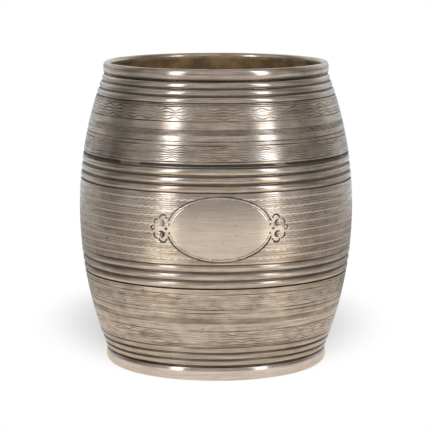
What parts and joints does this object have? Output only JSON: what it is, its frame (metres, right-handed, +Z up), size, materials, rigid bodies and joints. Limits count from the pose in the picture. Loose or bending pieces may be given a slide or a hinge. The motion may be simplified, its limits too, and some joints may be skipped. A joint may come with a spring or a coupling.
{
  "type": "beaker",
  "caption": "Barrel-shaped silver beaker with a rounded lip, cask-like bands of half-round hoops, a vacant engraved oval on the front and a moulded foot ring, for drinking from.",
  "frame": {"origin": "on the table under the middle of the foot ring", "axes": "+Z up along the beaker's axis, -Y out of the front, where the engraved oval is"},
  "size_m": [0.07, 0.07, 0.0775],
  "materials": {
    "silver": "tarnished engine-turned silver, warm grey, rubbed bright on the high places and dark in the grooves",
    "gilt_silver": "silver gilded on the inside, the gilding thin, brownish and worn"
  },
  "bodies": {
    "root": {"foot_ring": "silver", "base_plate": "gilt_silver", "barrel_wall": "silver", "base_hoop_1": "silver", "base_hoop_2": "silver", "base_hoop_3": "silver", "lower_hoop_1": "silver", "lower_hoop_2": "silver", "lower_hoop_3": "silver", "upper_hoop_1": "silver", "upper_hoop_2": "silver", "upper_hoop_3": "silver", "neck_hoop_1": "silver", "neck_hoop_2": "silver", "neck_hoop_3": "silver", "lip_wire": "silver"}
  },
  "joints": []
}
